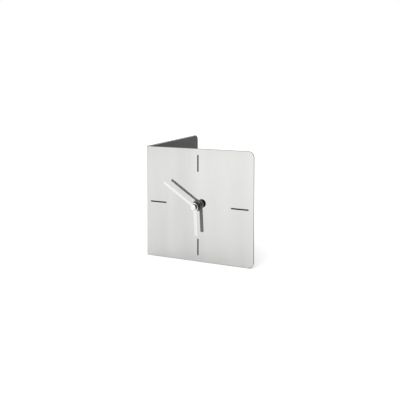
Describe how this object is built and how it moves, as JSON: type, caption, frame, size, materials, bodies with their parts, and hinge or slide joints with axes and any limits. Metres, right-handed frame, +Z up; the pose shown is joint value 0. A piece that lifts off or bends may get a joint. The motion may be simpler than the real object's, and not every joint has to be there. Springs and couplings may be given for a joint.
{
  "type": "table clock",
  "caption": "Free-standing quartz clock: a square mirror-polished dial folded back along one side, with slotted hour marks and baton hands.",
  "frame": {"origin": "middle of the clock's box, on the surface it stands on", "axes": "+Y from the dial back along the folded side, +Z up, +X to the right across the dial"},
  "size_m": [0.154, 0.1896, 0.15],
  "materials": {
    "polished_steel": "mirror-polished stainless steel sheet",
    "dark_liner": "dark grey matt backing film",
    "black_rubber": "black rubber",
    "plain_steel": "plain bright steel",
    "black_brass": "blackened brass",
    "black_plastic": "moulded black plastic with a fine spark texture",
    "white_plastic": "natural moulded acetal",
    "polished_hand": "bright polished front with a darker brushed back",
    "black_cap": "black cap with a polished end",
    "brass": "turned brass",
    "spring_brass": "spring brass strip",
    "magnet": "sintered magnet",
    "iron": "soft iron lamination",
    "enamelled_copper": "enamelled copper wire",
    "board": "green circuit board",
    "resin": "black potting resin",
    "nickel": "nickel-plated strip",
    "cell_can": "bright plated can",
    "cell_sleeve": "plain dark sleeve with a lighter band, no lettering"
  },
  "bodies": {
    "clock_body": {"folded_sheet": "polished_steel", "inner_liner": "dark_liner", "rubber_gasket": "black_rubber", "flat_washer": "plain_steel", "hex_nut": "black_brass", "threaded_bushing": "black_brass", "front_housing": "black_plastic", "middle_plate": "white_plastic", "rear_cover": "black_plastic", "stator": "iron", "coil_core": "iron", "coil_bobbin": "white_plastic", "coil_winding": "enamelled_copper", "circuit_board": "board", "chip": "resin", "quartz_crystal": "plain_steel", "positive_contact": "nickel", "negative_contact": "nickel"},
    "minute_group": {"minute_hand": "polished_hand", "minute_boss": "polished_hand", "hub_cap": "black_cap", "minute_tube": "brass"},
    "hour_group": {"hour_hand": "polished_hand", "hour_boss": "black_brass", "hour_wheel": "white_plastic"},
    "setting_group": {"minute_wheel": "white_plastic", "setting_knob": "black_plastic"},
    "second_group": {"second_wheel": "white_plastic"},
    "third_group": {"third_wheel": "white_plastic"},
    "centre_group": {"centre_wheel": "white_plastic", "clutch_spring": "spring_brass"},
    "fifth_group": {"fifth_wheel": "white_plastic"},
    "rotor_group": {"rotor_pinion": "white_plastic", "rotor_magnet": "magnet"},
    "battery_group": {"battery": "cell_can", "battery_sleeve": "cell_sleeve"}
  },
  "joints": [
    {"name": "minute_turn", "type": "hinge", "parent": "clock_body", "child": "minute_group", "pos_m": [0, -0.08845, 0.075], "axis": [0, 1, 0], "continuous": true},
    {"name": "hour_turn", "type": "hinge", "parent": "clock_body", "child": "hour_group", "pos_m": [0, -0.08695, 0.075], "axis": [0, 1, 0], "continuous": true},
    {"name": "setting_turn", "type": "hinge", "parent": "clock_body", "child": "setting_group", "pos_m": [-0.0096, -0.07005, 0.075], "axis": [0, 1, 0], "continuous": true},
    {"name": "second_turn", "type": "hinge", "parent": "clock_body", "child": "second_group", "pos_m": [0, -0.06385, 0.075], "axis": [0, 1, 0], "continuous": true},
    {"name": "third_turn", "type": "hinge", "parent": "clock_body", "child": "third_group", "pos_m": [-0.00148, -0.06525, 0.08337], "axis": [0, 1, 0], "continuous": true},
    {"name": "centre_turn", "type": "hinge", "parent": "clock_body", "child": "centre_group", "pos_m": [0, -0.06675, 0.075], "axis": [0, 1, 0], "continuous": true},
    {"name": "fifth_turn", "type": "hinge", "parent": "clock_body", "child": "fifth_group", "pos_m": [0.00886, -0.06265, 0.07656], "axis": [0, 1, 0], "continuous": true},
    {"name": "rotor_turn", "type": "hinge", "parent": "clock_body", "child": "rotor_group", "pos_m": [0.01413, -0.06265, 0.07848], "axis": [0, 1, 0], "continuous": true},
    {"name": "battery_slide", "type": "slide", "parent": "clock_body", "child": "battery_group", "axis": [0, 1, 0], "range_m": [0, 0.03]}
  ],
  "couplings": [
    {"joint": "hour_turn", "follows": "minute_turn", "ratio": 0.083333},
    {"joint": "setting_turn", "follows": "minute_turn", "ratio": -0.33333},
    {"joint": "third_turn", "follows": "second_turn", "ratio": -0.13333},
    {"joint": "centre_turn", "follows": "second_turn", "ratio": 0.016667},
    {"joint": "fifth_turn", "follows": "second_turn", "ratio": -5},
    {"joint": "rotor_turn", "follows": "second_turn", "ratio": 30}
  ]
}
